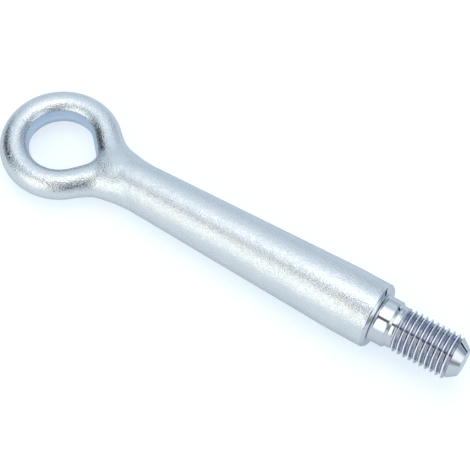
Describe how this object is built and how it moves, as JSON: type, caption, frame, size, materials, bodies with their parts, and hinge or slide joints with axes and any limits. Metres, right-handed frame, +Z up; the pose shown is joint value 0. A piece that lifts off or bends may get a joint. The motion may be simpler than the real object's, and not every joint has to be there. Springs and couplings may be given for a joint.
{
  "type": "tow eye",
  "caption": "Forged steel tow eye: a round-bar ring whose arms merge into a tapered round shank, with a shoulder, plain pilot and screw thread at the other end.",
  "frame": {"origin": "on the floor, below the middle of the part's bounding box, with the part lying as it comes to rest", "axes": "+X along the part from the ring toward the thread, +Y across the ring, +Z up from the floor; the shank's lower line lies on the floor, so the part's own axis rises toward the thread by about 1.9 degrees"},
  "size_m": [0.2226, 0.053, 0.0289],
  "materials": {
    "zinc_steel": "clear blue zinc plate over shot-blasted forging, turned bright at the threaded end"
  },
  "bodies": {
    "root": {"tow_eye": "zinc_steel"}
  },
  "joints": []
}
